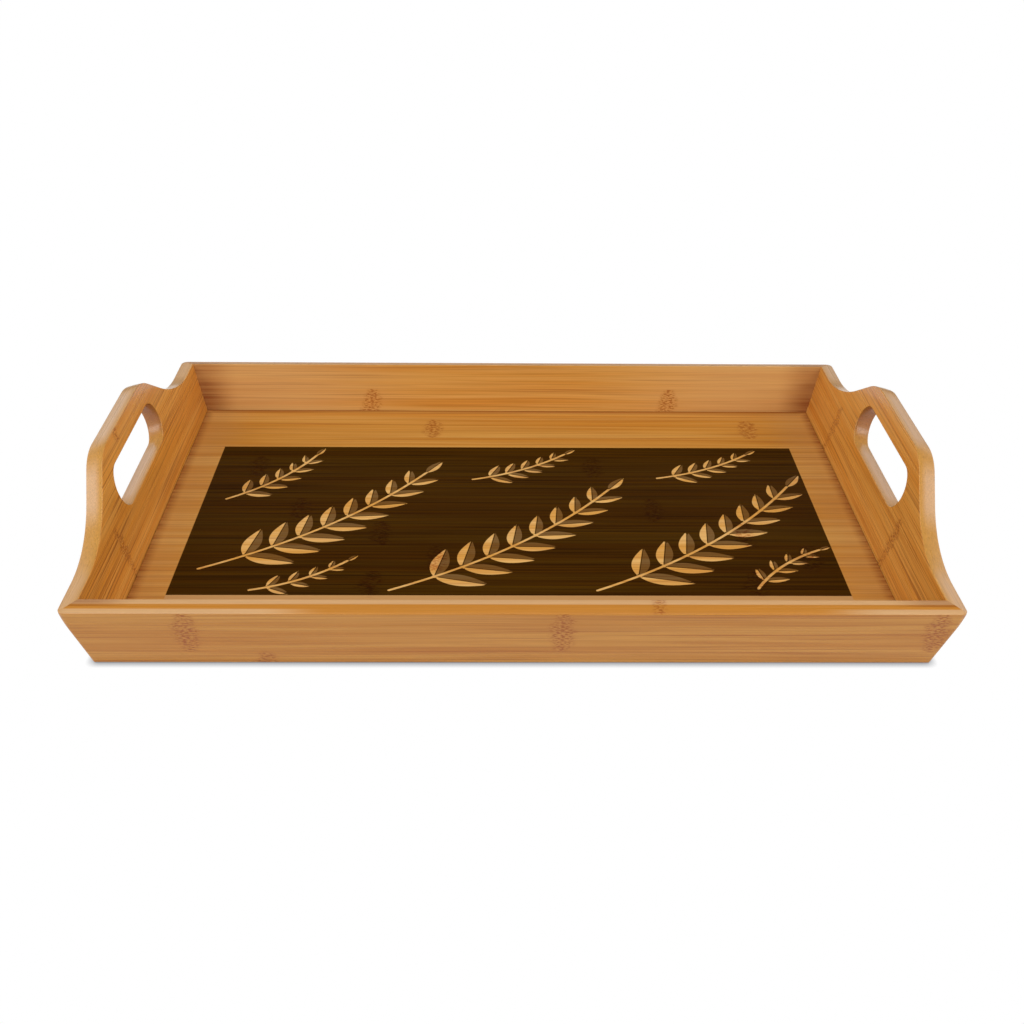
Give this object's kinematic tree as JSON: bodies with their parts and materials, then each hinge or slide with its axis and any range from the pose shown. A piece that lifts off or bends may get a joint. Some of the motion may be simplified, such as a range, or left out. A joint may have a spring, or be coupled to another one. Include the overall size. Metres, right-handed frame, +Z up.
{
  "type": "bamboo serving tray",
  "caption": "Rectangular bamboo serving tray with flared mitred walls, raised end boards with long hand holes, and a flat plywood floor held in a groove.",
  "frame": {"origin": "on the table under the middle of the tray", "axes": "+X along the tray from the left handle to the right one, +Y from the front rail to the back rail, +Z up"},
  "size_m": [0.443, 0.2868, 0.0682],
  "materials": {
    "bamboo_rail": "satin lacquer",
    "bamboo_end_board": "satin lacquer",
    "printed_floor": "satin lacquer over a printed panel",
    "bamboo_floor": "satin lacquer",
    "raw_bamboo": "unfinished"
  },
  "bodies": {
    "root": {"front_rail": "bamboo_rail", "back_rail": "bamboo_rail", "left_end_board": "bamboo_end_board", "right_end_board": "bamboo_end_board", "floor_face_ply": "printed_floor", "floor_core_ply": "raw_bamboo", "floor_back_ply": "bamboo_floor", "corner_spline_front_left": "raw_bamboo", "corner_spline_front_right": "raw_bamboo", "corner_spline_back_left": "raw_bamboo", "corner_spline_back_right": "raw_bamboo"}
  },
  "joints": []
}
